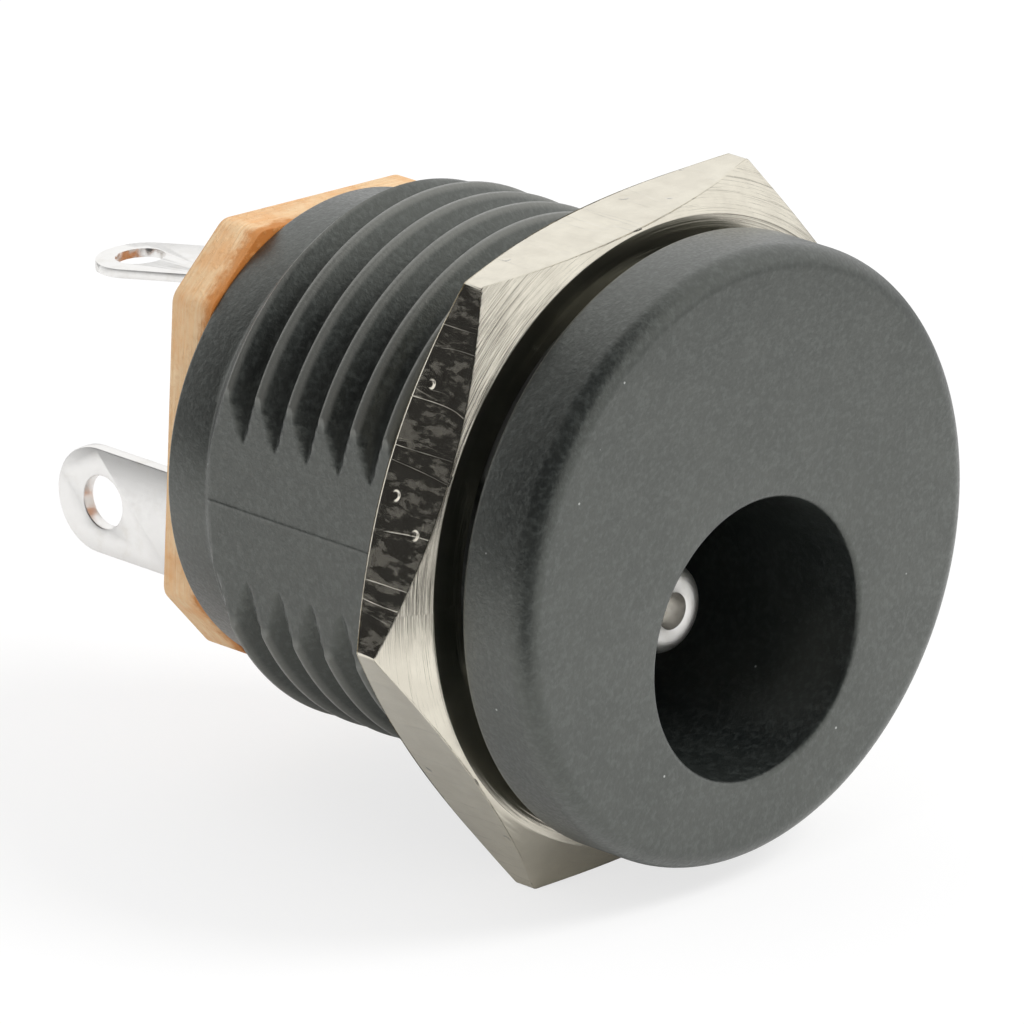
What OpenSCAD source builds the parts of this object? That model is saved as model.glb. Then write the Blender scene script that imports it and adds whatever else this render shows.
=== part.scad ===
// Panel-mount DC power jack: moulded housing with a threaded barrel, hex nut,
// riveted centre pin, terminal plate and three solder lugs.
// The jack's axis is Y. The socket faces -Y and the lugs point to +Y. +Z is up.
// The origin is the centre of the flange's rear face, which seats on the panel.

/* [Flange] */
// Diameter of the flange
flange_d = 13.6; // [13:0.1:18]
// Thickness of the flange
flange_t = 1.9; // [1.2:0.1:4]
// Radius round the flange's front edge
flange_edge_r = 0.5; // [0.2:0.05:0.8]
// Chamfer round the flange's rear edge
flange_back_chamfer = 0.15; // [0.05:0.05:0.3]

/* [Threaded barrel] */
// Crest diameter of the thread
thread_d = 12; // [11.6:0.1:12.8]
// Distance from one thread ridge to the next
thread_pitch = 0.95; // [0.8:0.05:1.5]
// Depth of the thread
thread_depth = 0.43; // [0.25:0.01:0.45]
// Width left flat on top of each thread ridge
thread_crest_w = 0.12; // [0.05:0.01:0.25]
// Distance from the flange to the last thread ridge
thread_len = 8.3; // [6.5:0.1:8.8]
// Width across the barrel's two flats
flats_w = 10.7; // [10.6:0.1:11.6]
// Length of the barrel behind the flange
barrel_len = 10.25; // [9.9:0.05:14]
// Diameter of the plain collar at the rear
collar_d = 10.6; // [10.2:0.1:11]

/* [Socket] */
// Diameter of the socket that the plug enters
bore_d = 6.2; // [5.8:0.1:6.6]
// Distance of the socket to the right of the barrel's axis
bore_x = 0.25; // [0:0.05:0.5]
// Distance of the socket below the barrel's axis
bore_down = 1.85; // [1.6:0.05:2]
// Depth of the socket from the flange's front face
bore_depth = 10; // [9:0.1:10.4]
// Chamfer round the socket's mouth
bore_chamfer = 0.1; // [0.05:0.05:0.3]

/* [Centre pin] */
// Diameter of the centre pin
pin_d = 2; // [1.6:0.1:2.5]
// Distance from the flange's front face to the pin's tip
pin_recess = 2.5; // [1.5:0.1:4]
// Radius round the pin's tip
pin_tip_r = 0.35; // [0.1:0.05:0.4]
// Diameter of the hollow in the pin's tip
pin_hollow_d = 0.8; // [0.4:0.1:0.8]
// Depth of the hollow in the pin's tip
pin_hollow_depth = 0.8; // [0.4:0.1:2]
// Diameter of the shoulder that seats on the socket's floor
pin_shoulder_d = 3.2; // [2.8:0.1:4]
// Thickness of that shoulder
pin_shoulder_t = 0.5; // [0.3:0.1:1]
// Diameter of the neck that passes through the floor, plate and terminal
pin_neck_d = 1.8; // [1.4:0.1:2]
// Diameter of the riveted head
pin_head_d = 2.7; // [2.4:0.1:3]
// Height of the riveted head
pin_head_t = 0.45; // [0.3:0.05:0.7]

/* [Hex nut] */
// Width of the nut across its flats
nut_af = 14; // [13.9:0.1:17]
// Thickness of the nut
nut_t = 1.85; // [1.8:0.05:3]
// Gap between the flange and the nut
nut_gap = 0.65; // [0.3:0.05:4]
// Step from the nut's flats in to its flat face
nut_face_step = 0.06; // [0.05:0.01:0.25]
// Angle that the nut is turned to
nut_turn = 6.5; // [0:0.5:60]
// Gap between the nut's thread and the barrel's
nut_clear = 0.1; // [0.05:0.01:0.15]
// Chamfer at each mouth of the nut's thread
nut_mouth = 0.3; // [0.2:0.05:0.5]

/* [Terminal plate] */
// Width of the terminal plate
plate_w = 8.25; // [7.8:0.05:8.6]
// Height of the terminal plate
plate_h = 9.6; // [9:0.05:9.7]
// Distance of the plate's middle above the barrel's axis
plate_up = 0.1; // [0:0.05:0.3]
// Angle that the plate's outline sits turned on its rivet
plate_turn = 3; // [0:0.5:4]
// Thickness of the terminal plate
plate_t = 1.2; // [0.8:0.1:2]
// Size of the plate's cut corners
plate_corner = 1.45; // [1.2:0.05:2]
// Radius where the plate's edges meet
plate_edge_r = 0.45; // [0.2:0.05:0.6]
// Gap round each strip in its slot
slot_clear = 0.05; // [0.02:0.01:0.1]

/* [Contacts and lugs] */
// Thickness of the centre pin's lug
sheet_t = 0.3; // [0.2:0.05:0.4]
// Thickness of the two spring contacts and their lugs
spring_t = 0.2; // [0.15:0.05:0.3]
// Width of the centre pin's lug
pin_lug_w = 2.4; // [2:0.1:3]
// Distance from the plate to the tip of the centre pin's lug
pin_lug_len = 4.05; // [3.5:0.05:6]
// Distance from the barrel's axis to the outside of the centre pin's lug
pin_lug_out = 3.5; // [3.2:0.1:4]
// Hole in the centre pin's lug
pin_lug_hole_d = 1.2; // [0.8:0.1:1.4]
// Distance from that hole's centre to the lug's tip
pin_lug_hole_back = 1.4; // [1.2:0.05:1.8]
// Outer bend radius of the centre pin's lug
pin_lug_bend_r = 0.5; // [0.45:0.05:0.8]
// Width of the sleeve contact's lug
sleeve_lug_w = 1.95; // [1.6:0.05:2.2]
// Distance from that lug's bend to the middle of its hole
sleeve_lug_len = 2.6; // [2:0.1:4]
// Angle that the lug is splayed to the left
sleeve_lug_turn = 21; // [0:1:30]
// Angle that the lug droops
sleeve_lug_droop = 4; // [0:1:10]
// Distance of the lug's root to the left of the barrel's axis
sleeve_lug_left = 1.41; // [1.2:0.01:1.6]
// Hole in the sleeve contact's lug
sleeve_lug_hole_d = 1.1; // [0.8:0.1:1.3]
// Width of the sleeve contact's spring
sleeve_spring_w = 2; // [1.6:0.1:2.2]
// Height of the sleeve contact's root above the barrel's axis
sleeve_up = 3.6; // [3.4:0.05:3.7]
// How far the spring reaches into the socket
sleeve_reach = 0.4; // [0.2:0.05:0.6]
// Distance from the barrel's axis to the outside of the switch contact
switch_out = 3.2; // [3.1:0.05:3.3]
// Width of the switch contact's strip and lug
switch_w = 1.9; // [1.6:0.1:2]
// Height of the switch contact's top edge above the barrel's axis
switch_up = 2.1; // [2:0.05:2.2]
// Distance from the plate to the tip of the switch contact's lug
switch_lug_len = 4.05; // [3.5:0.05:6]
// Hole in the switch contact's lug
switch_lug_hole_d = 1.1; // [0.8:0.1:1.2]

/* [Hidden] */
$fn = 96;
over = 1; // how far a cut runs past the face it opens
sink = 0.1; // how far joined shapes of one piece run into each other

flange_r = flange_d / 2;
front_y = -flange_t;
crest_r = thread_d / 2;
root_r = crest_r - thread_depth;
root_w = 0.08;
bore_z = -bore_down;
bore_r = bore_d / 2;
floor_y = front_y + bore_depth;
neck_hole_r = pin_neck_d / 2 + slot_clear;
plate_back = barrel_len + plate_t;

// The pocket above the socket holds the two spring contacts
pocket_clear = 0.15;
pocket_front = 1.4;
root_y = 9;
spring_x0 = bore_x - sleeve_spring_w / 2;
spring_x1 = bore_x + sleeve_spring_w / 2;
sleeve_lug_x0 = -sleeve_lug_left - sleeve_lug_w / 2;
lug_turn_y = plate_back + sleeve_lug_w / 2 * tan(sleeve_lug_turn / 2); // its side leaves the slot here
switch_x0 = switch_out - spring_t;
switch_down = switch_up - switch_w;
switch_shoulder = 0.6;
ring_margin = 0.3; // the pin terminal's ring past the riveted head

// The switch contact's foot lies under the level part of the sleeve spring
foot_y0 = 5.1;
foot_y1 = 6.4;
foot_lap = 0.65;
foot_x0 = spring_x1 - foot_lap;
spring_level = switch_up + spring_t / 2;

// The spring leaves its root, lies level over the foot, dips to its contact
// bump and ends in a lead-in that a plug pushes up
spring_straight = 0.5;
level_past_foot = 0.15;
bump_y0 = 3.2;
bump_y1 = 3.6;
lead_in = 1.2;
lead_rise = 0.9;
spring_bump_z = bore_z + bore_r - sleeve_reach + spring_t / 2;
spring_path = [
    [root_y, sleeve_up],
    [root_y - spring_straight, sleeve_up],
    [foot_y1 + level_past_foot, spring_level],
    [foot_y0 - level_past_foot, spring_level],
    [bump_y1, spring_bump_z],
    [bump_y0, spring_bump_z],
    [bump_y0 - lead_in, spring_bump_z + lead_rise]
];

// Turns a profile of (radius, y) points or shapes about the Y axis
module turned() rotate([-90, 0, 0]) rotate_extrude() children();

// Extrudes a front-view outline (x across, z up) from y0 to y1
module front_slab(y0, y1) {
    translate([0, y1, 0]) rotate([90, 0, 0]) linear_extrude(y1 - y0) children();
}

// Extrudes a side-view outline (y along, z up) from x0 to x1
module side_slab(x0, x1) {
    translate([x0, 0, 0]) rotate([90, 0, 90]) linear_extrude(x1 - x0) children();
}

// Extrudes a plan outline (x across, y along) from z0 to z1
module plan_slab(z0, z1) {
    translate([0, 0, z0]) linear_extrude(z1 - z0) children();
}

// A round bar or cone along Y, centred on x and z
module bar(x, z, y0, y1, r0, r1) {
    translate([x, y0, z]) rotate([-90, 0, 0]) cylinder(h = y1 - y0, r1 = r0, r2 = r1);
}

module box(x, y, z) translate([x[0], y[0], z[0]]) cube([x[1] - x[0], y[1] - y[0], z[1] - z[0]]);

// Outline of a bent strip of even thickness t along the points p
function unit(v) = v / norm(v);
function left_of(v) = [-v[1], v[0]];
function mitre(p, i) =
    let (
        a = unit(i == 0 ? p[1] - p[0] : p[i] - p[i - 1]),
        b = i == len(p) - 1 ? a : unit(p[i + 1] - p[i]),
        m = unit(left_of(a) + left_of(b))
    ) m / (m * left_of(a));
function strip(p, t) = concat(
    [for (i = [0 : len(p) - 1]) p[i] + mitre(p, i) * t / 2],
    [for (i = [len(p) - 1 : -1 : 0]) p[i] - mitre(p, i) * t / 2]
);

// Thread profile of (radius, y) points, grown outwards by g
groove_half = (thread_pitch - thread_crest_w) / 2;
groove_count = floor((thread_len - thread_pitch / 4) / thread_pitch);
function groove(y, g) = [
    [crest_r + g, y + groove_half],
    [root_r + g, y + root_w / 2],
    [root_r + g, y - root_w / 2],
    [crest_r + g, y - groove_half]
];
function thread_profile(g, y0, y1) = concat(
    [[0, y0], [0, y1], [crest_r + g, y1]],
    [for (i = [0 : groove_count - 1]) each groove(thread_len - (i + 0.5) * thread_pitch, g)],
    [[crest_r + g, y0]]
);

module flange() {
    turned() {
        translate([0, front_y]) square([flange_r - flange_edge_r, flange_t]);
        translate([flange_r - flange_edge_r, front_y + flange_edge_r]) circle(flange_edge_r);
        polygon([
            [0, front_y + flange_edge_r],
            [flange_r, front_y + flange_edge_r],
            [flange_r, -flange_back_chamfer],
            [flange_r - flange_back_chamfer, 0],
            [0, 0]
        ]);
    }
}

module barrel() {
    collar_r = collar_d / 2;
    last_crest = thread_len + thread_crest_w / 2;
    difference() {
        turned() {
            polygon(thread_profile(0, -flange_t / 2, last_crest));
            polygon([
                [0, last_crest - thread_crest_w / 2],
                [crest_r, last_crest - thread_crest_w / 2],
                [crest_r, last_crest],
                [collar_r, last_crest + crest_r - collar_r],
                [collar_r, barrel_len],
                [0, barrel_len]
            ]);
        }
        for (side = [0, 1]) mirror([side, 0, 0])
            box([flats_w / 2, crest_r + over], [0, barrel_len + over], [-crest_r - over, crest_r + over]);
    }
}

module socket() {
    bar(bore_x, bore_z, front_y - over, floor_y, bore_r, bore_r);
    bar(bore_x, bore_z, front_y - over, front_y + bore_chamfer, bore_r + over + bore_chamfer, bore_r);
    bar(bore_x, bore_z, floor_y - over, barrel_len + over, neck_hole_r, neck_hole_r);
}

module contact_pockets() {
    c = pocket_clear;
    back = barrel_len + over;
    top = sleeve_up + spring_t / 2 + c;
    low = spring_bump_z - spring_t / 2 - c;
    // the sleeve spring's slot, and the wider seat of its root
    box([spring_x0 - c, spring_x1 + c], [pocket_front, back], [low, top]);
    box([sleeve_lug_x0 - c, spring_x1 + c], [root_y, back], [sleeve_up - spring_t / 2 - c, top]);
    // the switch contact's slot, and the seat of its shoulder
    box([spring_x1, switch_out + c], [foot_y0 - c, back], [switch_down - c, switch_up + c]);
    box([switch_x0 - c, switch_out + c], [root_y, back], [switch_down - c, switch_up + switch_shoulder + c]);
}

module housing() {
    color("#3d4141") difference() {
        union() {
            flange();
            barrel();
        }
        socket();
        contact_pockets();
    }
}

module hex_nut() {
    corner_r = nut_af / 2 / cos(30);
    face_r = nut_af / 2 - nut_face_step;
    chamfer = (corner_r + over - face_r) * tan(30);
    y0 = nut_gap;
    y1 = nut_gap + nut_t;
    mouth_r = crest_r + nut_clear;
    color("#cdc4b4") difference() {
        intersection() {
            front_slab(y0, y1) rotate(nut_turn) circle(corner_r, $fn = 6);
            turned() polygon([
                [0, y0],
                [face_r, y0],
                [corner_r + over, y0 + chamfer],
                [corner_r + over, y1 - chamfer],
                [face_r, y1],
                [0, y1]
            ]);
        }
        turned() polygon(thread_profile(nut_clear, y0 - over, y1 + over));
        bar(0, 0, y0 - over, y0 + nut_mouth, mouth_r + over, mouth_r - nut_mouth);
        bar(0, 0, y1 - nut_mouth, y1 + over, mouth_r - nut_mouth, mouth_r + over);
    }
}

module centre_pin() {
    r = pin_d / 2;
    tip_y = front_y + pin_recess;
    shoulder_y = floor_y - pin_shoulder_t;
    head_y = plate_back + sheet_t;
    color("#dcdad2") translate([bore_x, 0, bore_z]) difference() {
        turned() {
            translate([0, tip_y]) square([r - pin_tip_r, 2 * pin_tip_r]);
            translate([r - pin_tip_r, tip_y + pin_tip_r]) circle(pin_tip_r);
            translate([0, tip_y + pin_tip_r]) square([r, floor_y - tip_y - pin_tip_r]);
            translate([0, shoulder_y]) square([pin_shoulder_d / 2, pin_shoulder_t]);
            translate([0, floor_y - sink]) square([pin_neck_d / 2, head_y - floor_y + 2 * sink]);
            translate([0, head_y]) intersection() {
                square([pin_head_d / 2, pin_head_t]);
                circle(pin_head_d / 2);
            }
        }
        bar(0, 0, tip_y - over, tip_y + pin_hollow_depth, pin_hollow_d / 2, pin_hollow_d / 2);
    }
}

// Outline with cut corners, all eight of its angles rounded
module plate_outline() {
    r = plate_edge_r;
    w = plate_w / 2 - r;
    h = plate_h / 2 - r;
    c = plate_corner - (2 - sqrt(2)) * r;
    p = [
        [w - c, -h], [w, -h + c], [w, h - c], [w - c, h],
        [-w + c, h], [-w, h - c], [-w, -h + c], [-w + c, -h]
    ];
    polygon(p);
    for (i = [0 : 7]) {
        q = p[(i + 1) % 8];
        side = -left_of(unit(q - p[i])) * r;
        translate(p[i]) circle(r);
        polygon([p[i], p[i] + side, q + side, q]);
    }
}

module terminal_plate() {
    s = spring_t / 2 + slot_clear;
    color("#c98d55") difference() {
        front_slab(barrel_len, plate_back) rotate(-plate_turn) translate([0, plate_up]) plate_outline();
        bar(bore_x, bore_z, barrel_len - over, plate_back + over, neck_hole_r, neck_hole_r);
        box([sleeve_lug_x0 - slot_clear, sleeve_lug_x0 + sleeve_lug_w + slot_clear],
            [barrel_len - over, plate_back + over], [sleeve_up - s, sleeve_up + s]);
        box([switch_x0 - slot_clear, switch_out + slot_clear],
            [barrel_len - over, plate_back + over], [switch_down - slot_clear, switch_up + slot_clear]);
    }
}

module pin_terminal() {
    t = sheet_t;
    r = pin_lug_bend_r;
    tip_y = plate_back + pin_lug_len;
    half = pin_lug_w / 2;
    z0 = bore_z - half;
    ring_r = pin_head_d / 2 + ring_margin;
    color("#e4e3de") difference() {
        union() {
            // the flat leg, the bend and the lug, cut to the lug's side outline
            intersection() {
                plan_slab(z0, z0 + pin_lug_w) translate([-pin_lug_out, plate_back]) {
                    translate([r, 0]) square([pin_lug_out - r + bore_x, t]);
                    translate([0, r]) square([t, pin_lug_len]);
                    intersection() {
                        translate([r, r]) difference() {
                            circle(r);
                            circle(r - t);
                        }
                        square(r);
                    }
                }
                side_slab(-pin_lug_out - over, bore_x + over) {
                    translate([plate_back, z0]) square([pin_lug_len - half, pin_lug_w]);
                    translate([tip_y - half, bore_z]) circle(half);
                }
            }
            bar(bore_x, bore_z, plate_back, plate_back + t, ring_r, ring_r);
        }
        bar(bore_x, bore_z, plate_back - over, plate_back + over, neck_hole_r, neck_hole_r);
        side_slab(-pin_lug_out - over, -pin_lug_out + over)
            translate([tip_y - pin_lug_hole_back, bore_z]) circle(pin_lug_hole_d / 2);
    }
}

// The contact's tail: level through the plate's slot, then splayed and drooped
module sleeve_tail() {
    w = sleeve_lug_w;
    end = sleeve_lug_len + w;
    bend = [-sleeve_lug_left, lug_turn_y, 0];
    intersection() {
        translate(bend) rotate(sleeve_lug_turn) translate([0, 0, sleeve_up]) side_slab(-2 * w, 2 * w)
            polygon(strip([[-2 * w, 0], [0, 0], [end, -end * tan(sleeve_lug_droop)]], spring_t));
        plan_slab(sleeve_up - 2 * over, sleeve_up + 2 * over) {
            translate([sleeve_lug_x0, root_y]) square([w, lug_turn_y - root_y]);
            translate(bend) rotate(sleeve_lug_turn) difference() {
                union() {
                    circle(w / 2);
                    translate([-w / 2, 0]) square([w, sleeve_lug_len]);
                    translate([0, sleeve_lug_len]) circle(w / 2);
                }
                translate([0, sleeve_lug_len]) circle(sleeve_lug_hole_d / 2);
            }
        }
    }
}

module sleeve_contact() {
    t = spring_t / 2;
    color("#e0ded6") {
        side_slab(spring_x0, spring_x1) polygon(strip(spring_path, spring_t));
        plan_slab(sleeve_up - t, sleeve_up + t)
            translate([sleeve_lug_x0, root_y]) square([spring_x1 - sleeve_lug_x0, barrel_len - root_y]);
        sleeve_tail();
    }
}

module switch_contact() {
    half = switch_w / 2;
    tip_y = plate_back + switch_lug_len;
    lug_z = switch_down + half;
    color("#e0ded6") difference() {
        union() {
            side_slab(switch_x0, switch_out) {
                translate([foot_y0, switch_down]) square([tip_y - half - foot_y0, switch_w]);
                translate([root_y, switch_down]) square([barrel_len - root_y, switch_w + switch_shoulder]);
                translate([tip_y - half, lug_z]) circle(half);
            }
            box([foot_x0, switch_out], [foot_y0, foot_y1], [switch_up - spring_t, switch_up]);
        }
        side_slab(switch_x0 - over, switch_out + over)
            translate([tip_y - half, lug_z]) circle(switch_lug_hole_d / 2);
    }
}

housing();
hex_nut();
centre_pin();
terminal_plate();
pin_terminal();
sleeve_contact();
switch_contact();
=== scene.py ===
import math

import bmesh
import bpy
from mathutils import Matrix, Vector


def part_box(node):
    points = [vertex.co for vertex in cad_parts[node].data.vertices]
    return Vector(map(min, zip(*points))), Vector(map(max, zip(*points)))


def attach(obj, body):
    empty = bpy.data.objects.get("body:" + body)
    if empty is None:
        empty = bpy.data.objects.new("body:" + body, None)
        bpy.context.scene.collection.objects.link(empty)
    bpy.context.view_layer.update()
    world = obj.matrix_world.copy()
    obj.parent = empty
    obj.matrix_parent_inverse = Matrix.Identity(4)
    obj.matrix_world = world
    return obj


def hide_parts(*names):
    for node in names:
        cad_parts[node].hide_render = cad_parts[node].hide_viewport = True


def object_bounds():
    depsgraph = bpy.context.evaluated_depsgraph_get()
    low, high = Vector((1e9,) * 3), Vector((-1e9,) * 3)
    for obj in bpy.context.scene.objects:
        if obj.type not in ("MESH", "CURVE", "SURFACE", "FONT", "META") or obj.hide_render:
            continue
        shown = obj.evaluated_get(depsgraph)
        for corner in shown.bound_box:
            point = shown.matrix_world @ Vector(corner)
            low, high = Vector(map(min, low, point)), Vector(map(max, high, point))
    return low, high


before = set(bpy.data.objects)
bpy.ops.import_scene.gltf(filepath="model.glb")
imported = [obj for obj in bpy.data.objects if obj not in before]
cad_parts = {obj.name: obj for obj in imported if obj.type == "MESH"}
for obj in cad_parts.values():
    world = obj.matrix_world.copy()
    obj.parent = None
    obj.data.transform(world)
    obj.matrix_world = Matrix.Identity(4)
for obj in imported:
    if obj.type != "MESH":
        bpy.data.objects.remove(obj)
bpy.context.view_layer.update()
MM = 0.001
TAU = 2 * math.pi

# ---------------------------------------------------------------- sizes, in millimetres
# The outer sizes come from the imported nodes; the rest are the maker's own.
flange_low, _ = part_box("housing")
nut_low, nut_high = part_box("hex_nut")
plate_low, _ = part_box("terminal_plate")
pin_low, pin_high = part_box("centre_pin")
_, spring_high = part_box("sleeve_contact")
_, switch_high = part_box("switch_contact")

FRONT_Y = flange_low.y / MM
FLANGE_R = -flange_low.z / MM
FLANGE_EDGE = 0.5  # radius of the front edge
FLANGE_BACK_EDGE = 0.15
BARREL_END = plate_low.y / MM

CREST_R = 6.0
THREAD_DEPTH = 0.43
PITCH = 0.95
# A ridge's side with its eased corners: how far from the ridge's middle, and how deep there.
GROOVE = ((0.0, 0.0), (0.04, 0.002), (0.062, 0.012), (0.085, 0.036), (0.395, 0.385), (0.42, 0.412),
          (0.445, 0.427), (PITCH / 2, THREAD_DEPTH))
LAST_RIDGE = 8.3  # y of the last ridge where x < 0
THREAD_END = 8.36
COLLAR_R = 5.3
COLLAR_EDGE = 0.08
FLAT_X = 5.35  # from the axis to a flat
PARTING_LINE = 0.012  # how far the mould's parting line stands out on the flats
PARTING_WIDTH = 0.035

SOCKET_X = (pin_low.x + pin_high.x) / 2 / MM
SOCKET_Z = (pin_low.z + pin_high.z) / 2 / MM
SOCKET_R = 3.1
SOCKET_EDGE = 0.12
SOCKET_FLOOR = 8.1

PIN_R = 1.0
PIN_ROUND = 0.35  # radius of the tip's edge
HOLLOW_R = 0.4
SHOULDER_R = 1.6
SHOULDER_T = 0.5
NECK_R = 0.9
NECK_CLEAR = 0.05
HEAD_R = 1.35
HEAD_T = 0.45

# The contacts' pockets: where each starts along y, its lower or both ends along z, and the room in it.
SPRING_Y = 1.4
SPRING_Z = 0.7
SWITCH_Y = 5.1
SWITCH_Z = (0.2, 2.1)
POCKET_X = 1.0  # from the pin's middle to a pocket's side
ROOM = 0.15

NUT_Y0, NUT_Y1 = nut_low.y / MM, nut_high.y / MM
NUT_A = 7.0  # from the axis to a flat
NUT_FACE_R = 6.94
NUT_STEP = 0.008  # the tool's step from the flat face to the chamfer
NUT_CHAMFER = math.radians(30)
NUT_CORNER = 0.12
NUT_TURN = math.radians(6.5)
NUT_CLEAR = 0.1
# The nut's rims are rounded by rows that lie this far in from its outline and this far past the chamfer.
FRONT_RIM = ((0.03, 0.0), (0.01, 0.004), (0.0, 0.018))
REAR_RIM = ((0.0, 0.05), (0.008, 0.022), (0.03, 0.004), (0.06, 0.0))


# ---------------------------------------------------------------- mesh helpers

def new_piece(name, mesh, node, material):
    """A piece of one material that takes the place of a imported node."""
    obj = bpy.data.objects.new(name, mesh)
    bpy.context.scene.collection.objects.link(obj)
    mesh.materials.clear()
    mesh.materials.append(material)
    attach(obj, "root")
    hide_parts(node)
    return obj


def smooth_shaded(mesh, angle):
    """Smooth shading everywhere but across edges sharper than the angle."""
    mesh.shade_smooth()
    mesh.set_sharp_from_angle(angle=math.radians(angle))
    mesh.update()


def mesh_of(name, points, faces):
    """A mesh from points in millimetres."""
    mesh = bpy.data.meshes.new(name)
    mesh.from_pydata([tuple(c * MM for c in p) for p in points], [], faces)
    return mesh


def skin(rings, name, caps=True):
    """A mesh through rings of equally many points, its two ends closed by caps."""
    around = len(rings[0])
    faces = []
    for j in range(len(rings) - 1):
        a, b = j * around, (j + 1) * around
        for i in range(around):
            k = (i + 1) % around
            faces.append((a + i, a + k, b + k, b + i))
    if caps:
        faces += end_caps(around, len(rings))
    return mesh_of(name, [p for r in rings for p in r], faces)


def end_caps(around, count):
    """The faces that close the first and the last of so many rings."""
    last = (count - 1) * around
    return [tuple(range(around))[::-1], tuple(range(last, last + around))]


def tidied(mesh):
    """Merges points that fall together and turns all faces outwards."""
    together = 0.00002 * MM
    bm = bmesh.new()
    bm.from_mesh(mesh)
    bmesh.ops.remove_doubles(bm, verts=bm.verts, dist=together)
    bmesh.ops.dissolve_degenerate(bm, edges=bm.edges, dist=together)
    bmesh.ops.recalc_face_normals(bm, faces=bm.faces)
    bm.to_mesh(mesh)
    bm.free()
    return mesh


def cut(mesh, cutters):
    """The mesh less each of the cutter meshes."""
    body = bpy.data.objects.new("cut_body", mesh)
    bpy.context.scene.collection.objects.link(body)
    tools = []
    for cutter in cutters:
        tool = bpy.data.objects.new("cut_tool", cutter)
        bpy.context.scene.collection.objects.link(tool)
        tools.append(tool)
        step = body.modifiers.new("cut", "BOOLEAN")
        step.operation, step.solver, step.object = "DIFFERENCE", "EXACT", tool
    graph = bpy.context.evaluated_depsgraph_get()
    graph.update()
    result = bpy.data.meshes.new_from_object(body.evaluated_get(graph))
    for obj in [body, *tools]:
        bpy.data.objects.remove(obj)
    return result


def turned(profile, x, z, around, name):
    """A closed solid of (radius, y) profile points turned about the line through x, z."""
    rings = [
        [(x + r * math.cos(TAU * i / around), y, z + r * math.sin(TAU * i / around)) for i in range(around)]
        for r, y in profile
    ]
    return tidied(skin(rings, name))


def block(x, y, z):
    """A box between two values along each axis."""
    corners = [(a, b, c) for a in x for b in y for c in z]
    faces = [(0, 1, 3, 2), (4, 6, 7, 5), (0, 4, 5, 1), (2, 3, 7, 6), (0, 2, 6, 4), (1, 5, 7, 3)]
    return tidied(mesh_of("block", corners, faces))


def eased_copy(node, ease):
    """A CAD node's shape with its sharp edges eased, as tumbling or stamping leaves them."""
    sharp_from = math.radians(28)
    bm = bmesh.new()
    bm.from_mesh(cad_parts[node].data)
    bmesh.ops.remove_doubles(bm, verts=bm.verts, dist=0.0005 * MM)
    bmesh.ops.dissolve_limit(
        bm, angle_limit=math.radians(0.5), verts=bm.verts, edges=bm.edges, use_dissolve_boundaries=False)
    sharp = [e for e in bm.edges if len(e.link_faces) == 2 and e.calc_face_angle(0) > sharp_from]
    bmesh.ops.bevel(
        bm, geom=sharp, offset=ease * MM, offset_type="OFFSET", segments=2, profile=0.5,
        affect="EDGES", clamp_overlap=True)
    bmesh.ops.recalc_face_normals(bm, faces=bm.faces)
    mesh = bpy.data.meshes.new(node + "_eased")
    bm.to_mesh(mesh)
    bm.free()
    smooth_shaded(mesh, 50)
    return mesh


# ---------------------------------------------------------------- node helpers

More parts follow.
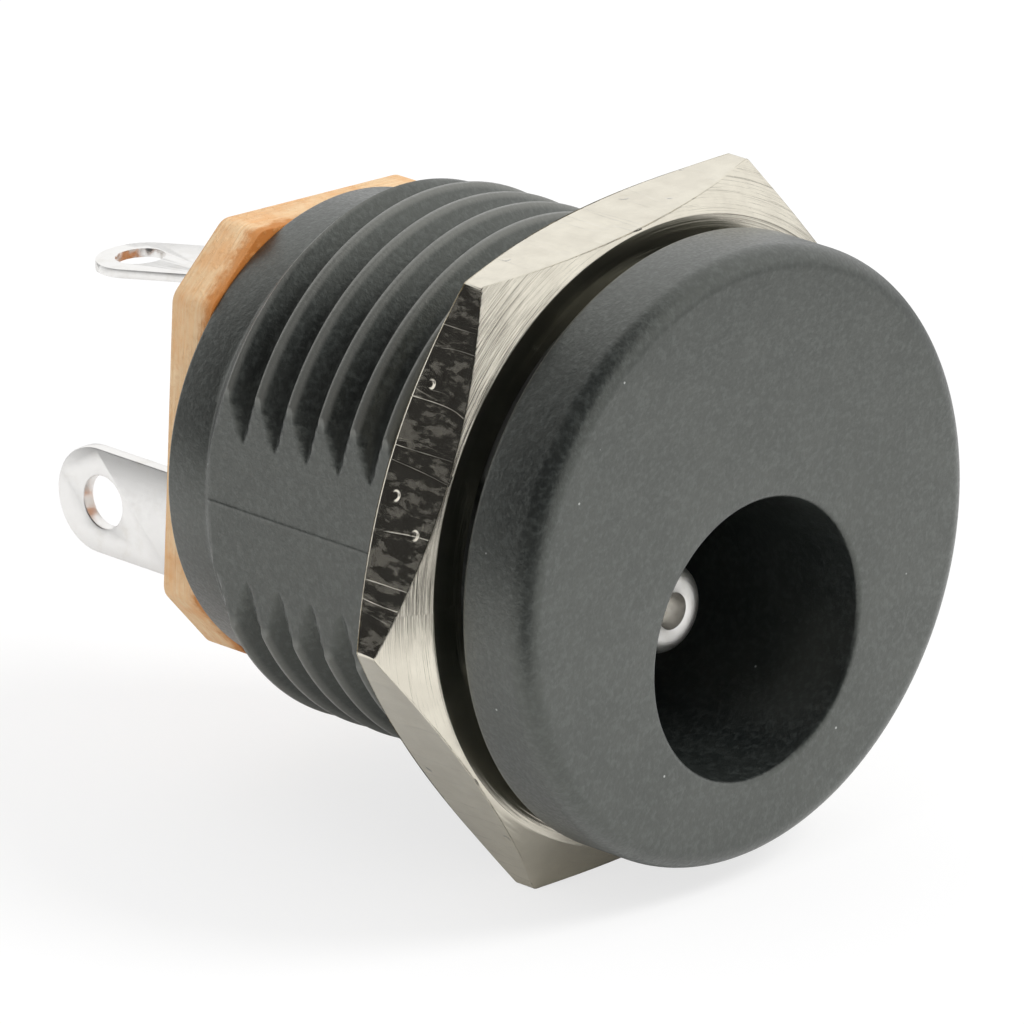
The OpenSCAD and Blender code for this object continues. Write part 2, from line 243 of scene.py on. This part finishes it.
class Nodes:
    """Short calls for building a node tree: numbers go on sockets, sockets are linked."""

    def __init__(self, tree):
        self.tree = tree
        self.x = 0

    def add(self, kind, settings=None, **inputs):
        """A new node; i0, i1 and so on are its inputs by number."""
        node = self.tree.nodes.new(kind)
        self.x += 180
        node.location = (self.x, 0)
        for name, value in (settings or {}).items():
            setattr(node, name, value)
        for name, value in inputs.items():
            self.put(node, name.replace("_", " "), value)
        return node

    def put(self, node, name, value):
        """Links a socket to the node's input, or sets the input to a number or colour."""
        by_number = name[:1] == "i" and name[1:].isdigit()
        socket = node.inputs[int(name[1:]) if by_number else name]
        if isinstance(value, bpy.types.NodeSocket):
            self.tree.links.new(value, socket)
        else:
            socket.default_value = value

    def maths(self, operation, *values):
        """The outcome of a maths operation on one, two or three values."""
        node = self.add("ShaderNodeMath", {"operation": operation})
        for i, value in enumerate(values):
            self.put(node, f"i{i}", value)
        return node.outputs[0]

    def reach(self, x, z):
        """Distance from the y axis."""
        squares = [self.maths("MULTIPLY", side, side) for side in (x, z)]
        return self.maths("SQRT", self.maths("ADD", *squares))

    def ramp(self, value, low, high, out_low=0.0, out_high=1.0, shape="SMOOTHSTEP"):
        """The value taken from its own range to another one, and held at the ends."""
        node = self.add("ShaderNodeMapRange", {"interpolation_type": shape}, Value=value)
        limits = {"From Min": low, "From Max": high, "To Min": out_low, "To Max": out_high}
        for name, number in limits.items():
            self.put(node, name, number)
        return node.outputs[0]

    def mix(self, share, a, b):
        """Colour a where the share is 0, b where it is 1."""
        node = self.add("ShaderNodeMix", {"data_type": "RGBA"})
        self.put(node, "i0", share)
        self.put(node, "i6", a)
        self.put(node, "i7", b)
        return node.outputs[2]

    def noise(self, where, scale, detail, rough):
        """Smooth noise about 0.5."""
        node = self.add("ShaderNodeTexNoise", Vector=where, Scale=scale, Detail=detail, Roughness=rough)
        return node.outputs["Fac"]

    def place(self, stretch=(1.0, 1.0, 1.0)):
        """The piece's own coordinates in millimetres, stretched along x, y and z."""
        where = self.add("ShaderNodeTexCoord").outputs["Object"]
        scaled = self.add("ShaderNodeVectorMath", {"operation": "MULTIPLY"}, i0=where)
        scaled.inputs[1].default_value = [s / MM for s in stretch]
        return scaled.outputs[0]

    def use(self, tree, where=None, **numbers):
        """A node group in this tree, with its own values; returns its output."""
        node = self.add("ShaderNodeGroup", {"node_tree": tree})
        if where is not None:
            self.put(node, "Place", where)
        for name, value in numbers.items():
            self.put(node, name.replace("_", " "), value)
        return node.outputs[0]

    def split(self, vector):
        return self.add("ShaderNodeSeparateXYZ", Vector=vector).outputs

    def join(self, x, y, z):
        return self.add("ShaderNodeCombineXYZ", X=x, Y=y, Z=z).outputs[0]

    def bump(self, height, depth):
        """Bump whose full height is depth millimetres."""
        return self.add("ShaderNodeBump", Height=height, Strength=1.0, Distance=depth * MM).outputs[0]

    def seen(self, paths):
        """1 for the camera's own rays, straight or through something clear, from a Light Path node."""
        return self.maths("MAXIMUM", paths.outputs["Is Camera Ray"], paths.outputs["Is Transmission Ray"])


def material(name):
    """A new material, the calls for its tree, and its shader."""
    mat = bpy.data.materials.new(name)
    mat.use_nodes = True
    return mat, Nodes(mat.node_tree), mat.node_tree.nodes["Principled BSDF"]


def grey(v):
    """A grey of the given brightness."""
    return (v, v, v, 1.0)


# ---------------------------------------------------------------- finishes

def group(name, numbers, output="Share", placed=True):
    """A new shader node group: the named numbers and, if placed, a Place as inputs, and one output."""
    tree = bpy.data.node_groups.new(name, "ShaderNodeTree")
    if placed:
        tree.interface.new_socket(name="Place", in_out="INPUT", socket_type="NodeSocketVector")
    for number, value in numbers.items():
        socket = tree.interface.new_socket(name=number, in_out="INPUT", socket_type="NodeSocketFloat")
        socket.default_value = value
    tree.interface.new_socket(name=output, in_out="OUTPUT", socket_type="NodeSocketFloat")
    t = Nodes(tree)
    return tree, t, t.add("NodeGroupInput").outputs


def close_group(t, value):
    """Leads the value to the group's output."""
    t.add("NodeGroupOutput", i0=value)


def patches_group():
    """Soft uneven patches: 0 where the noise is below Low, 1 above High."""
    tree, t, given = group("patches", {"Scale": 1.0, "Detail": 3.0, "Low": 0.35, "High": 0.65})
    noise = t.noise(given["Place"], given["Scale"], given["Detail"], 0.6)
    close_group(t, t.ramp(noise, given["Low"], given["High"]))
    return tree


def specks_group():
    """Small round marks of about the given size in millimetres, in a share of the cells."""
    tree, t, given = group("specks", {"Scale": 1.0, "Size": 0.05, "Amount": 0.3})
    cells = t.add("ShaderNodeTexVoronoi", Vector=given["Place"], Scale=given["Scale"])
    reach = t.maths("MULTIPLY", given["Size"], given["Scale"])
    near = t.ramp(t.maths("DIVIDE", cells.outputs["Distance"], reach), 1.0, 0.5)
    chosen = t.maths("LESS_THAN", t.split(cells.outputs["Color"])[0], given["Amount"])
    close_group(t, t.maths("MULTIPLY", near, chosen))
    return tree


def turning_group():
    """Marks of a lathe tool: rings round the piece's middle, broken along their length."""
    numbers = {"Fineness": 14.0, "Breaks": 3.0, "Middle x": 0.0, "Middle z": 0.0}
    tree, t, given = group("turning_marks", numbers, "Height")
    x, y, z = t.split(given["Place"])
    x = t.maths("SUBTRACT", x, given["Middle x"])
    z = t.maths("SUBTRACT", z, given["Middle z"])
    out = t.maths("MULTIPLY", t.reach(x, z), given["Fineness"])
    round_about = t.maths("MULTIPLY", t.maths("ARCTAN2", z, x), given["Breaks"])
    where = t.join(out, round_about, t.maths("MULTIPLY", y, given["Fineness"]))
    close_group(t, t.noise(where, 1.0, 4.0, 0.65))
    return tree


def drawing_group():
    """Lines that drawing or rolling leaves along the y axis."""
    tree, t, given = group("drawing_lines", {"Across": 9.0, "Along": 0.15}, "Height")
    x, y, z = t.split(given["Place"])
    where = t.join(t.maths("MULTIPLY", x, given["Across"]), t.maths("MULTIPLY", y, given["Along"]),
                   t.maths("MULTIPLY", z, given["Across"]))
    close_group(t, t.noise(where, 1.0, 2.0, 0.6))
    return tree


def end_face_group():
    """1 where the surface faces forwards or backwards, 0 where it faces away from the axis."""
    tree, t, given = group("end_face", {"Low": 0.3, "High": 0.6}, placed=False)
    facing = t.split(t.add("ShaderNodeNewGeometry").outputs["Normal"])[1]
    close_group(t, t.ramp(t.maths("ABSOLUTE", facing), given["Low"], given["High"]))
    return tree


patches = patches_group()
specks = specks_group()
turning_marks = turning_group()
drawing_lines = drawing_group()
end_face = end_face_group()


def moulded_plastic():
    """Black plastic from a spark-eroded mould: a satin skin, a painted highlight that makes the thread's
    crests a little paler, some dust.
    """
    mat, t, shader = material("moulded_black_plastic")
    where = t.place()
    x, y, z = t.split(where)
    cloud = t.use(patches, where, Scale=0.9, Detail=4.0, Low=0.35, High=0.65)
    fleck = t.use(patches, where, Scale=7.0, Detail=2.0, Low=0.42, High=0.72)
    grain = t.use(patches, where, Scale=13.0, Detail=2.0, Low=0.3, High=0.7)
    dust = t.use(specks, where, Scale=1.5, Size=0.035, Amount=0.25)
    # Painted highlight: the base colour turns paler on the thread's crests, where light catches them.
    on_ridge = t.ramp(t.reach(x, z), CREST_R - 0.14, CREST_R - 0.03)
    painted_crest_highlight = t.maths("MULTIPLY", on_ridge, t.maths("GREATER_THAN", y, 0.2))
    tone = t.mix(cloud, (0.010, 0.013, 0.013, 1), (0.018, 0.021, 0.020, 1))
    tone = t.mix(t.maths("MULTIPLY", fleck, 0.8), tone, (0.042, 0.048, 0.046, 1))
    tone = t.mix(t.maths("MULTIPLY", painted_crest_highlight, 0.8), tone, (0.14, 0.14, 0.13, 1))
    t.put(shader, "Base Color", t.mix(dust, tone, (0.42, 0.43, 0.42, 1)))
    t.put(shader, "Roughness", t.ramp(grain, 0.0, 1.0, 0.34, 0.48))
    t.put(shader, "Specular IOR Level", 1.0)
    t.put(shader, "Specular Tint", (0.96, 1.0, 0.88, 1))
    t.put(shader, "Coat Weight", 0.7)
    t.put(shader, "Coat Roughness", 0.4)
    height = t.maths("ADD", t.maths("MULTIPLY", grain, 0.5), t.maths("MULTIPLY", fleck, 0.5))
    t.put(shader, "Normal", t.bump(height, 0.006))
    return mat


def nickel_plate():
    """Nickel on drawn and turned brass: drawing lines on the flats, turning rings on the faces."""
    mat, t, shader = material("turned_nickel")
    where = t.place()
    turned_part = t.use(end_face, Low=0.25, High=0.45)
    flat_front = t.use(end_face, Low=0.9, High=0.97)
    rings = t.use(turning_marks, where, Fineness=8.0, Breaks=0.6)
    fine_rings = t.use(turning_marks, where, Fineness=22.0, Breaks=1.0)
    drawn = t.use(drawing_lines, where, Across=6.0, Along=0.35)
    scratch = t.use(drawing_lines, where, Across=1.3, Along=0.12)
    line = t.ramp(t.maths("ABSOLUTE", t.maths("SUBTRACT", scratch, 0.5)), 0.014, 0.002)
    lined = t.use(patches, where, Scale=0.6, Detail=2.0, Low=0.4, High=0.6)
    line = t.maths("MULTIPLY", line, t.maths("MULTIPLY_ADD", lined, 0.5, 0.35))
    dents = t.use(patches, where, Scale=2.6, Detail=4.0, Low=0.45, High=0.8)
    pit = t.use(specks, where, Scale=1.05, Size=0.15, Amount=0.85)
    flat_height = t.maths("ADD", t.maths("ADD", t.maths("MULTIPLY", drawn, 0.5), line),
                          t.maths("MULTIPLY", dents, 0.4))
    flat_height = t.maths("SUBTRACT", flat_height, t.maths("MULTIPLY", pit, 3.5))
    ring_height = t.maths("ADD", t.maths("MULTIPLY", rings, 5.0), t.maths("MULTIPLY", fine_rings, 1.5))
    ring_height = t.maths("MULTIPLY", ring_height, t.ramp(flat_front, 0.0, 1.0, 1.0, 0.3, "LINEAR"))
    height = t.ramp(turned_part, 0.0, 1.0, flat_height, ring_height, "LINEAR")
    tone = t.use(patches, where, Scale=1.3, Detail=3.0, Low=0.3, High=0.7)
    t.put(shader, "Base Color", t.mix(tone, (0.83, 0.785, 0.67, 1), (0.75, 0.705, 0.60, 1)))
    t.put(shader, "Metallic", 1.0)
    scuffs = t.use(patches, t.place((3.0, 1.1, 3.0)), Scale=1.5, Detail=4.0, Low=0.45, High=0.62)
    flat_rough = t.ramp(scuffs, 0.0, 1.0, 0.14, 0.27)
    t.put(shader, "Roughness", t.ramp(turned_part, 0.0, 1.0, flat_rough, 0.18, "LINEAR"))
    t.put(shader, "Normal", t.bump(height, 0.006))
    return mat


def tinned():
    """Dull tin over sheet brass, with a few stains and rolling lines."""
    mat, t, shader = material("dull_tin")
    where = t.place()
    stain = t.use(patches, where, Scale=1.6, Detail=4.0, Low=0.5, High=0.8)
    fine = t.use(patches, where, Scale=11.0, Detail=3.0, Low=0.3, High=0.7)
    rolled = t.use(drawing_lines, where, Across=12.0, Along=1.2)
    t.put(shader, "Base Color", t.mix(stain, (0.95, 0.94, 0.92, 1), (0.86, 0.84, 0.80, 1)))
    t.put(shader, "Metallic", 1.0)
    t.put(shader, "Roughness", t.ramp(fine, 0.0, 1.0, 0.30, 0.38))
    t.put(shader, "Normal", t.bump(rolled, 0.001))
    return mat


def turned_tin():
    """The riveted pin: bright plating over fine turning marks."""
    mat, t, shader = material("bright_pin")
    where = t.place()
    stain = t.use(patches, where, Scale=2.2, Detail=4.0, Low=0.45, High=0.8)
    marks = t.use(turning_marks, where, Fineness=30.0, Breaks=2.0, Middle_x=SOCKET_X, Middle_z=SOCKET_Z)
    t.put(shader, "Base Color", t.mix(stain, (0.93, 0.915, 0.88, 1), (0.80, 0.77, 0.71, 1)))
    t.put(shader, "Metallic", 1.0)
    t.put(shader, "Roughness", t.ramp(marks, 0.3, 0.7, 0.28, 0.38))
    t.put(shader, "Normal", t.bump(marks, 0.004))
    return mat


def laminate():
    """Phenolic paper laminate: pale paper layers on its sheared sides, darker pressed faces, and painted
    shade on the sheared sides near the barrel.
    """
    mat, t, shader = material("phenolic_laminate")
    where = t.place()
    face = t.use(end_face, Low=0.5, High=0.8)
    layers = t.use(patches, t.place((0.8, 16.0, 0.8)), Scale=1.0, Detail=3.0, Low=0.35, High=0.65)
    fluff = t.use(patches, where, Scale=6.0, Detail=5.0, Low=0.45, High=0.75)
    cloud = t.use(patches, where, Scale=1.1, Detail=3.0, Low=0.4, High=0.7)
    sheared = t.mix(layers, (0.95, 0.63, 0.35, 1), (0.97, 0.71, 0.44, 1))
    sheared = t.mix(t.maths("MULTIPLY", fluff, 0.4), sheared, (0.88, 0.50, 0.22, 1))
    sheared = t.mix(t.maths("MULTIPLY", cloud, 0.6), sheared, (0.86, 0.43, 0.17, 1))
    # Painted shade: the sheared sides darken towards the plate's front face, next to the barrel, where the
    # barrel shades them.
    depth = t.maths("SUBTRACT", t.split(where)[1], BARREL_END)
    ragged = t.use(patches, where, Scale=3.0, Detail=4.0, Low=0.2, High=0.8)
    painted_shade_share = t.ramp(t.maths("MULTIPLY_ADD", ragged, 0.35, depth), 0.3, 0.62, 1.0, 0.0)
    sheared = t.mix(t.maths("MULTIPLY", painted_shade_share, 0.85), sheared, (0.62, 0.23, 0.05, 1))
    flat = t.mix(fluff, (0.62, 0.22, 0.05, 1), (0.74, 0.32, 0.10, 1))
    t.put(shader, "Base Color", t.mix(face, sheared, flat))
    t.put(shader, "Roughness", t.ramp(face, 0.0, 1.0, 0.85, 0.5))
    t.put(shader, "Normal", t.bump(t.maths("ADD", layers, fluff), 0.012))
    return mat


plastic = moulded_plastic()
nickel = nickel_plate()
tin = tinned()
bright_tin = turned_tin()
board = laminate()


# ---------------------------------------------------------------- thread

def groove_depth(u):
    """How deep the thread is at u pitches from the middle of a ridge."""
    off = abs(u - round(u)) * PITCH
    for (near, shallow), (far, deep) in zip(GROOVE, GROOVE[1:]):
        if off <= far:
            return shallow + (deep - shallow) * (off - near) / (far - near)
    return THREAD_DEPTH


def thread_radius(angle, y):
    """Radius of the right-handed thread, from its helix."""
    ridge = LAST_RIDGE + PITCH * (0.5 - angle / TAU)
    return CREST_R - groove_depth((y - ridge) / PITCH)


def smallest(a, b, ease=0.012):
    """The smaller of two numbers, with the corner between them eased."""
    h = max(ease - abs(a - b), 0) / ease
    return min(a, b) - h * h * ease / 4


def barrel_radius(angle, y):
    """Radius of the barrel: the thread, its end, the collar, and the two flats with their parting line."""
    r = thread_radius(angle, y)
    r = smallest(r, max(CREST_R - (y - THREAD_END), COLLAR_R), 0.05)
    across = abs(math.cos(angle))
    if across > 0.5:
        line = math.exp(-((FLAT_X * math.tan(angle)) / PARTING_WIDTH) ** 2)
        r = smallest(r, (FLAT_X + PARTING_LINE * line) / across)
    return r


def barrel_angles():
    """Angles round the barrel: close together at the parting line and where the flats cut the thread."""
    quarter = [0.0, 0.15, 0.3, 0.45, 0.6, 1.0, 2.0, 4.0, 6.5, 9.0, 11.0]
    a = 12.0
    while a < 29.5:
        quarter.append(a)
        a += 0.32
    quarter += [30.0 + 2.0 * i for i in range(31)]
    half = quarter + [180 - q for q in reversed(quarter[:-1])]
    full = half + [180 + h for h in half[1:-1]]
    return [math.radians(q) for q in full]


def ring(angles, r, y):
    """A ring of points about the y axis."""
    return [(r * math.cos(a), y, r * math.sin(a)) for a in angles]


def quarter_round(angles, r, y, turn, ease, steps):
    """Rings round an eased corner whose circle is centred on (r, y); turn gives its start and end."""
    rings = []
    for i in range(steps + 1):
        a = turn[0] + (turn[1] - turn[0]) * i / steps
        rings.append(ring(angles, r + ease * math.cos(a), y + ease * math.sin(a)))
    return rings


def thread_rows(angles, stop):
    """Rows that lie along the helix, so that each ridge keeps its row, held at the barrel's ends."""
    side = [off / PITCH for off, _ in GROOVE[1:-1]] + [0.19 / PITCH, 0.3 / PITCH]
    marks = sorted([0, 0.5] + side + [1 - s for s in side])
    rows = []
    for turn in range(math.floor(-LAST_RIDGE / PITCH) - 1, 3):
        for mark in marks:
            row = []
            for a in angles:
                y = LAST_RIDGE + PITCH * (turn + mark + 0.5 - a / TAU)
                y = min(max(y, 0.0), stop)
                r = barrel_radius(a, y)
                row.append((r * math.cos(a), y, r * math.sin(a)))
            rows.append(row)
    return rows, len(marks)


def moulding():
    """The flange and the threaded barrel as one closed skin, before the socket is cut."""
    angles = barrel_angles()
    around = len(angles)
    edge, back = FLANGE_EDGE, FLANGE_BACK_EDGE
    stop = THREAD_END + CREST_R - COLLAR_R + 0.06
    side_middle = -0.8
    front = [ring(angles, r, FRONT_Y) for r in (0.5, 2.5, 4.5)]
    front += quarter_round(angles, FLANGE_R - edge, FRONT_Y + edge, (-math.pi / 2, 0), edge, 14)
    front.append(ring(angles, FLANGE_R, side_middle))
    front += quarter_round(angles, FLANGE_R - back, -back, (0, math.pi / 2), back, 6)
    rows, in_turn = thread_rows(angles, stop)
    rear = [ring(angles, COLLAR_R, stop + 0.1)]
    edge = COLLAR_EDGE
    rear += quarter_round(angles, COLLAR_R - edge, BARREL_END - edge, (0, math.pi / 2), edge, 4)
    rings = front + rows + rear
    first, last = len(front), len(front) + len(rows) - 1
    faces = []
    for j in range(len(rings) - 1):
        for i in range(around):
            k = (i + 1) % around
            low, high = j, j + 1
            # A helical row ends where the row of one turn before it begins.
            if k == 0 and first <= j < last:
                low, high = max(j - in_turn, first), max(j + 1 - in_turn, first)
            faces.append((j * around + i, low * around + k, high * around + k, (j + 1) * around + i))
    faces += end_caps(around, len(rings))
    return tidied(mesh_of("moulding", [p for r in rings for p in r], faces))


def socket_tool():
    """What the socket takes away, its mouth flared by an eased edge."""
    profile = [(SOCKET_R, SOCKET_FLOOR)]
    for i in range(9):
        a = math.pi / 2 * i / 8
        back = SOCKET_EDGE * (1 - math.sin(a))
        profile.append((SOCKET_R + SOCKET_EDGE * (1 - math.cos(a)), FRONT_Y + back))
    profile.append((SOCKET_R + SOCKET_EDGE, FRONT_Y - 1))
    return turned(profile, SOCKET_X, SOCKET_Z, 144, "socket_tool")


def neck_tool():
    """What the hole for the pin's neck takes away."""
    r = NECK_R + NECK_CLEAR
    return turned([(r, BARREL_END + 1), (r, SOCKET_FLOOR - 1)], SOCKET_X, SOCKET_Z, 48, "neck_tool")


def pocket_tools():
    """What the pockets of the sleeve spring and of the switch strip take away."""
    end = BARREL_END + 1
    left, right = SOCKET_X - POCKET_X, SOCKET_X + POCKET_X
    spring = block((left - ROOM, right + ROOM), (SPRING_Y, end), (SPRING_Z, spring_high.z / MM + ROOM))
    switch = block((right, switch_high.x / MM + ROOM), (SWITCH_Y - ROOM, end),
                   (SWITCH_Z[0] - ROOM, SWITCH_Z[1] + ROOM))
    return [spring, switch]


def housing_piece():
    """The moulding with its socket, the hole for the pin's neck and the contacts' pockets."""
    mesh = cut(moulding(), [socket_tool(), neck_tool(), *pocket_tools()])
    smooth_shaded(mesh, 50)
    return new_piece("threaded_housing", mesh, "housing", plastic)


def hex_radius(angle):
    """Radius of the nut's outline, its six corners slightly rounded."""
    ease = NUT_CORNER
    d = (angle - NUT_TURN + TAU / 12) % (TAU / 6) - TAU / 12
    centre = (NUT_A - ease) / math.cos(TAU / 12)
    touch = math.atan2(ease * 0.5, centre + ease * math.cos(TAU / 12))
    if abs(d) >= touch:
        return NUT_A / math.cos(TAU / 12 - abs(d))
    return centre * math.cos(d) + math.sqrt(ease ** 2 - (centre * math.sin(d)) ** 2)


def between(a, b, share):
    """The value that is a share of the way from a to b."""
    return a + (b - a) * share


def nut_rings(angles):
    """Rings of the nut: front mouth, outside, rear mouth, then back along its thread."""
    face, mouth = NUT_FACE_R, CREST_R + NUT_CLEAR
    on_face = (mouth, 6.4, face - 0.04)
    inside_rows = 36
    rings = []

    def add(place):
        """A ring whose radius and y come from each point's angle and the outline's radius there."""
        points = [(*place(a, hex_radius(a)), a) for a in angles]
        rings.append([(r * math.cos(a), y, r * math.sin(a)) for r, y, a in points])

    def fall(r):
        """How far the chamfer has dropped at radius r."""
        return (r - face) * math.tan(NUT_CHAMFER)

    def front(r):
        return NUT_Y0 + fall(r) + NUT_STEP

    def rear(r):
        return NUT_Y1 - fall(r) - NUT_STEP

    for r in on_face:
        add(lambda a, h: (r, NUT_Y0))
    add(lambda a, h: (face, front(face)))
    for share in (0.04, 0.5, 0.96):
        add(lambda a, h: (between(face, h, share), front(between(face, h, share))))
    for back, past in FRONT_RIM:
        add(lambda a, h: (h - back, front(h - back) + past))
    for share in (0.03, 0.5, 0.96):
        add(lambda a, h: (h, between(NUT_Y0 + fall(h), NUT_Y1 - fall(h), share)))
    for back, past in REAR_RIM:
        add(lambda a, h: (h - back, rear(h - back) - past))
    for share in (0.96, 0.5, 0.04):
        add(lambda a, h: (between(face, h, share), rear(between(face, h, share))))
    add(lambda a, h: (face, rear(face)))
    for r in reversed(on_face):
        add(lambda a, h: (r, NUT_Y1))
    for i in range(1, inside_rows):
        y = between(NUT_Y1, NUT_Y0, i / inside_rows)
        cone = mouth - min(y - NUT_Y0, NUT_Y1 - y)
        add(lambda a, h: (max(cone, thread_radius(a, y) + NUT_CLEAR), y))
    return rings


def nut_piece():
    """The nut, with rings closest together at its six corners."""
    near = [0, 0.12, 0.24, 0.36, 0.5, 0.8, 1.3, 2, 3] + [4 + 2 * i for i in range(14)]
    side = sorted(set([-d for d in near] + near))[:-1]
    angles = [NUT_TURN + math.radians(60 * n + d) for n in range(6) for d in side]
    rings = nut_rings(angles)
    mesh = tidied(skin(rings + rings[:1], "nut", caps=False))
    smooth_shaded(mesh, 25)
    return new_piece("hex_nut_plated", mesh, "hex_nut", nickel)


def pin_piece():
    """The turned pin: hollow tip, shoulder on the socket's floor, neck and riveted head."""
    tip, top = pin_low.y / MM, pin_high.y / MM
    head, seat = top - HEAD_T, SOCKET_FLOOR - SHOULDER_T
    profile = [(0.01, tip + 0.95), (HOLLOW_R, tip + 0.8), (HOLLOW_R, tip + 0.04)]
    profile += [(HOLLOW_R + 0.01, tip + 0.01), (HOLLOW_R + 0.04, tip)]
    for i in range(17):
        a = math.pi / 2 * i / 16
        profile.append((PIN_R - PIN_ROUND * (1 - math.sin(a)), tip + PIN_ROUND * (1 - math.cos(a))))
    profile += [(PIN_R, seat - 0.08), (PIN_R + 0.02, seat - 0.02), (PIN_R + 0.08, seat)]
    profile += [(SHOULDER_R - 0.05, seat), (SHOULDER_R - 0.015, seat + 0.015), (SHOULDER_R, seat + 0.05)]
    profile += [(SHOULDER_R, SOCKET_FLOOR), (NECK_R, SOCKET_FLOOR), (NECK_R, head), (HEAD_R, head)]
    profile += [(HEAD_R - 0.015, head + 0.2), (HEAD_R - 0.06, head + 0.37), (HEAD_R - 0.11, head + 0.43)]
    profile += [(HEAD_R - 0.2, top), (0.6, top), (0.01, top)]
    mesh = turned(profile, SOCKET_X, SOCKET_Z, 96, "pin")
    smooth_shaded(mesh, 40)
    return new_piece("riveted_pin", mesh, "centre_pin", bright_tin)


housing_piece()
nut_piece()
pin_piece()
new_piece("laminate_plate", eased_copy("terminal_plate", 0.04), "terminal_plate", board)
for node in ("pin_terminal", "sleeve_contact", "switch_contact"):
    new_piece(node + "_stamped", eased_copy(node, 0.025), node, tin)


# ---------------------------------------------------------------- studio

DARK_SIDE = Vector((-0.86, -0.161, 0.484))  # from the object: behind the camera and to its left
CAMERA_SHADE = (-28.0, -25.0, 0.0)  # where the camera shades the paper, in millimetres


def key_light():
    """One soft lamp from above, in front and to the right, which isn't mirrored in the object."""
    place = Vector((0.16, -0.22, 0.30))
    data = bpy.data.lights.new("key", "AREA")
    data.shape, data.size, data.energy = "DISK", 0.16, 0.8
    obj = bpy.data.objects.new("key", data)
    bpy.context.scene.collection.objects.link(obj)
    obj.location = place
    obj.rotation_mode = "QUATERNION"
    obj.rotation_quaternion = (Vector((0, 2 * MM, 0)) - place).to_track_quat("-Z", "Y")
    obj.visible_camera = False
    obj.visible_glossy = False


def floor_piece():
    """White paper to the camera; for the object it is dimmer far off and where the camera shades it."""
    s = 1500.0
    mesh = mesh_of("floor", [(-s, -s, 0), (s, -s, 0), (s, s, 0), (-s, s, 0)], [(0, 1, 2, 3)])
    floor = bpy.data.objects.new("floor", mesh)
    bpy.context.scene.collection.objects.link(floor)
    floor.location.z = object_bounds()[0].z
    mat = bpy.data.materials.new("floor_paper")
    mat.use_nodes = True
    t = Nodes(mat.node_tree)
    tree = mat.node_tree
    tree.nodes.remove(tree.nodes["Principled BSDF"])
    seen = t.seen(t.add("ShaderNodeLightPath"))
    where = t.place()
    away = t.add("ShaderNodeVectorMath", {"operation": "LENGTH"}, i0=where).outputs["Value"]
    bright = t.ramp(away, 35.0, 90.0, 0.95, 0.2)
    shade = t.add("ShaderNodeVectorMath", {"operation": "DISTANCE"}, i0=where)
    shade.inputs[1].default_value = CAMERA_SHADE
    bright = t.maths("MULTIPLY", bright, t.ramp(shade.outputs["Value"], 13.0, 23.0, 0.06, 1.0))
    paper = t.add("ShaderNodeBsdfDiffuse", Color=t.mix(seen, bright, grey(0.3)))
    glow = t.add("ShaderNodeEmission", Color=grey(1.0), Strength=t.maths("MULTIPLY", seen, 0.72))
    both = t.add("ShaderNodeAddShader", i0=paper.outputs[0], i1=glow.outputs[0])
    tree.links.new(both.outputs[0], tree.nodes["Material Output"].inputs["Surface"])
    mesh.materials.append(mat)


def room():
    """White to the camera; for the object a pale room that is dark behind the camera and to its left."""
    world = bpy.data.worlds.new("studio")
    bpy.context.scene.world = world
    world.use_nodes = True
    t = Nodes(world.node_tree)
    paths = t.add("ShaderNodeLightPath")
    seen = t.seen(paths)
    shiny = paths.outputs["Is Glossy Ray"]
    toward = t.add("ShaderNodeTexCoord").outputs["Generated"]
    dark = t.add("ShaderNodeVectorMath", {"operation": "DOT_PRODUCT"}, i0=toward)
    dark.inputs[1].default_value = DARK_SIDE.normalized()
    lit = t.ramp(dark.outputs["Value"], 0.32, 0.56, 1.0, 0.02)
    strength = t.ramp(shiny, 0.0, 1.0, 0.75, lit, "LINEAR")
    strength = t.maths("MAXIMUM", strength, seen)
    back = world.node_tree.nodes["Background"]
    t.put(back, "Color", grey(1.0))
    t.put(back, "Strength", strength)


def camera():
    """A long lens from the front left, a little above the jack."""
    az, el, reach = math.radians(-45.663), math.radians(20.063), 0.3
    aim = Vector((0, 2.1 * MM, 0))
    back = Vector((math.sin(az) * math.cos(el), -math.cos(az) * math.cos(el), math.sin(el)))
    right = Vector((math.cos(az), math.sin(az), 0))
    up = back.cross(right)
    data = bpy.data.cameras.new("camera")
    data.sensor_width, data.lens = 36, 496.8
    data.clip_start, data.clip_end = 0.01, 10
    obj = bpy.data.objects.new("camera", data)
    bpy.context.scene.collection.objects.link(obj)
    obj.location = aim + back * reach - right * 2.166 * MM + up * 0.0716 * MM
    obj.rotation_mode = "QUATERNION"
    obj.rotation_quaternion = (-back).to_track_quat("-Z", "Y")
    bpy.context.scene.camera = obj


camera()
floor_piece()
room()
key_light()
bpy.context.scene.view_settings.view_transform = "Standard"
